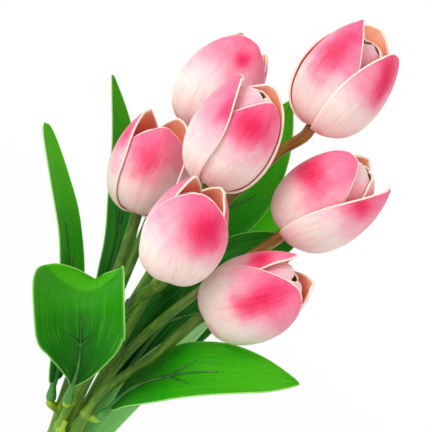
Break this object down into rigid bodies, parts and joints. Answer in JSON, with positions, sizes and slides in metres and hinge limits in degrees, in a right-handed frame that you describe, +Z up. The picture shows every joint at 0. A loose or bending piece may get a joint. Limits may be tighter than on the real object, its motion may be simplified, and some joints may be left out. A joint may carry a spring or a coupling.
{
  "type": "artificial tulip bouquet",
  "caption": "Hand-tied bunch of artificial tulips: soft moulded heads on wire-cored plastic stems with plug-on leaves.",
  "frame": {"origin": "on the floor below the middle of the whole bunch's box", "axes": "+Z up along the bunch, -Y towards the side that the picture shows"},
  "size_m": [0.1748, 0.1329, 0.3414],
  "materials": {
    "petal_outer": "soft-touch foam, sprayed pink over cream with a crimson patch",
    "petal_inner": "soft-touch foam, pale pink",
    "stem": "satin olive green, brown near the heads",
    "core_wire": "plain drawn wire",
    "leaf_blade": "satin, fine lengthwise veins",
    "leaf_rib": "satin dark green",
    "tie_band": "translucent elastic band"
  },
  "bodies": {
    "root": {"stem_b": "stem", "wire_b": "core_wire", "tie": "tie_band"},
    "flower_a": {"stem_a": "stem", "wire_a": "core_wire"},
    "flower_c": {"stem_c": "stem", "wire_c": "core_wire"},
    "flower_d": {"stem_d": "stem", "wire_d": "core_wire"},
    "flower_e": {"stem_e": "stem", "wire_e": "core_wire"},
    "flower_f": {"stem_f": "stem", "wire_f": "core_wire"},
    "flower_g": {"stem_g": "stem", "wire_g": "core_wire"},
    "head_a": {"petal_a1": "petal_outer", "petal_a2": "petal_outer", "petal_a3": "petal_outer", "inner_petals_a": "petal_inner"},
    "head_b": {"petal_b1": "petal_outer", "petal_b2": "petal_outer", "petal_b3": "petal_outer", "inner_petals_b": "petal_inner"},
    "head_c": {"petal_c1": "petal_outer", "petal_c2": "petal_outer", "petal_c3": "petal_outer", "inner_petals_c": "petal_inner"},
    "head_d": {"petal_d1": "petal_outer", "petal_d2": "petal_outer", "petal_d3": "petal_outer", "inner_petals_d": "petal_inner"},
    "head_e": {"petal_e1": "petal_outer", "petal_e2": "petal_outer", "petal_e3": "petal_outer", "inner_petals_e": "petal_inner"},
    "head_f": {"petal_f1": "petal_outer", "petal_f2": "petal_outer", "petal_f3": "petal_outer", "inner_petals_f": "petal_inner"},
    "head_g": {"petal_g1": "petal_outer", "petal_g2": "petal_outer", "petal_g3": "petal_outer", "inner_petals_g": "petal_inner"},
    "leaf_1": {"leaf_1": "leaf_blade", "leaf_rib_1": "leaf_rib"},
    "leaf_2": {"leaf_2": "leaf_blade", "leaf_rib_2": "leaf_rib"},
    "leaf_3": {"leaf_3": "leaf_blade", "leaf_rib_3": "leaf_rib"},
    "leaf_4": {"leaf_4": "leaf_blade", "leaf_rib_4": "leaf_rib"},
    "leaf_5": {"leaf_5": "leaf_blade", "leaf_rib_5": "leaf_rib"},
    "leaf_6": {"leaf_6": "leaf_blade", "leaf_rib_6": "leaf_rib"},
    "leaf_7": {"leaf_7": "leaf_blade", "leaf_rib_7": "leaf_rib"},
    "leaf_8": {"leaf_8": "leaf_blade", "leaf_rib_8": "leaf_rib"}
  },
  "joints": [
    {"name": "head_turn_a", "type": "hinge", "parent": "flower_a", "child": "head_a", "pos_m": [-0.02945, 0.04207, 0.2439], "axis": [-0.02, 0.14, 0.99], "continuous": true},
    {"name": "stem_sway_a", "type": "hinge", "parent": "root", "child": "flower_a", "pos_m": [0.01067, 0.00496, 0.075], "axis": [-0.9063, -0.4226, 0], "range_deg": [0, 6]},
    {"name": "head_turn_b", "type": "hinge", "parent": "root", "child": "head_b", "pos_m": [-0.00575, -0.01493, 0.2362], "axis": [-0.1, -0.1701, 0.9803], "continuous": true},
    {"name": "head_turn_c", "type": "hinge", "parent": "flower_c", "child": "head_c", "pos_m": [0.01855, 0.00607, 0.285], "axis": [-0.03, -0.02, 0.9994], "continuous": true},
    {"name": "stem_sway_c", "type": "hinge", "parent": "root", "child": "flower_c", "pos_m": [0.01605, 0.00449, 0.075], "axis": [-0.8192, 0.5736, 0], "range_deg": [0, 6]},
    {"name": "head_turn_d", "type": "hinge", "parent": "flower_d", "child": "head_d", "pos_m": [-0.02525, 0.01507, 0.198], "axis": [-0.3296, -0.0999, 0.9388], "continuous": true},
    {"name": "stem_sway_d", "type": "hinge", "parent": "root", "child": "flower_d", "pos_m": [0.00757, 0.00054, 0.075], "axis": [-0.0872, -0.9962, 0], "range_deg": [0, 6]},
    {"name": "head_turn_e", "type": "hinge", "parent": "flower_e", "child": "head_e", "pos_m": [0.00495, -0.03993, 0.1932], "axis": [-0.1709, -0.2413, 0.9553], "continuous": true},
    {"name": "stem_sway_e", "type": "hinge", "parent": "root", "child": "flower_e", "pos_m": [0.00985, -0.00435, 0.075], "axis": [0.8192, -0.5736, 0], "range_deg": [0, 6]},
    {"name": "head_turn_f", "type": "hinge", "parent": "flower_f", "child": "head_f", "pos_m": [0.03955, 0.00207, 0.2361], "axis": [0.2505, -0.1102, 0.9618], "continuous": true},
    {"name": "stem_sway_f", "type": "hinge", "parent": "root", "child": "flower_f", "pos_m": [0.01833, -0.0004, 0.075], "axis": [0.0872, 0.9962, 0], "range_deg": [0, 6]},
    {"name": "head_turn_g", "type": "hinge", "parent": "flower_g", "child": "head_g", "pos_m": [0.03355, -0.01993, 0.1857], "axis": [0.4601, -0.22, 0.8602], "continuous": true},
    {"name": "stem_sway_g", "type": "hinge", "parent": "root", "child": "flower_g", "pos_m": [0.01523, -0.00483, 0.075], "axis": [0.9063, 0.4226, 0], "range_deg": [0, 6]},
    {"name": "leaf_swivel_1", "type": "hinge", "parent": "flower_d", "child": "leaf_1", "pos_m": [-0.002, -0.00007, 0.09485], "axis": [-0.4344, -0.0774, 0.8974], "range_deg": [-30, 30]},
    {"name": "leaf_swivel_2", "type": "hinge", "parent": "flower_a", "child": "leaf_2", "pos_m": [-0.00534, 0.02208, 0.12466], "axis": [-0.3517, 0.4147, 0.8392], "range_deg": [-30, 30]},
    {"name": "leaf_swivel_3", "type": "hinge", "parent": "flower_e", "child": "leaf_3", "pos_m": [0.0046, -0.01408, 0.10465], "axis": [-0.2421, -0.4679, 0.85], "range_deg": [-30, 30]},
    {"name": "leaf_swivel_4", "type": "hinge", "parent": "flower_g", "child": "leaf_4", "pos_m": [0.02084, -0.00963, 0.10608], "axis": [0.2033, -0.3094, 0.929], "range_deg": [-25, 12]},
    {"name": "leaf_swivel_5", "type": "hinge", "parent": "flower_f", "child": "leaf_5", "pos_m": [0.02619, 0.00052, 0.05945], "axis": [-0.0098, 0.0225, 0.9997], "range_deg": [-5, 10]},
    {"name": "leaf_swivel_6", "type": "hinge", "parent": "flower_c", "child": "leaf_6", "pos_m": [0.00062, 0.01498, 0.17568], "axis": [0.014, 0.5113, 0.8593], "range_deg": [-12, 30]},
    {"name": "leaf_swivel_7", "type": "hinge", "parent": "flower_c", "child": "leaf_7", "pos_m": [0.01661, 0.01112, 0.10418], "axis": [0.1011, 0.1273, 0.9867], "range_deg": [-20, 20]},
    {"name": "leaf_swivel_8", "type": "hinge", "parent": "flower_a", "child": "leaf_8", "pos_m": [-0.00257, 0.03052, 0.14996], "axis": [0.4696, 0.3957, 0.7892], "range_deg": [-25, 25]}
  ]
}
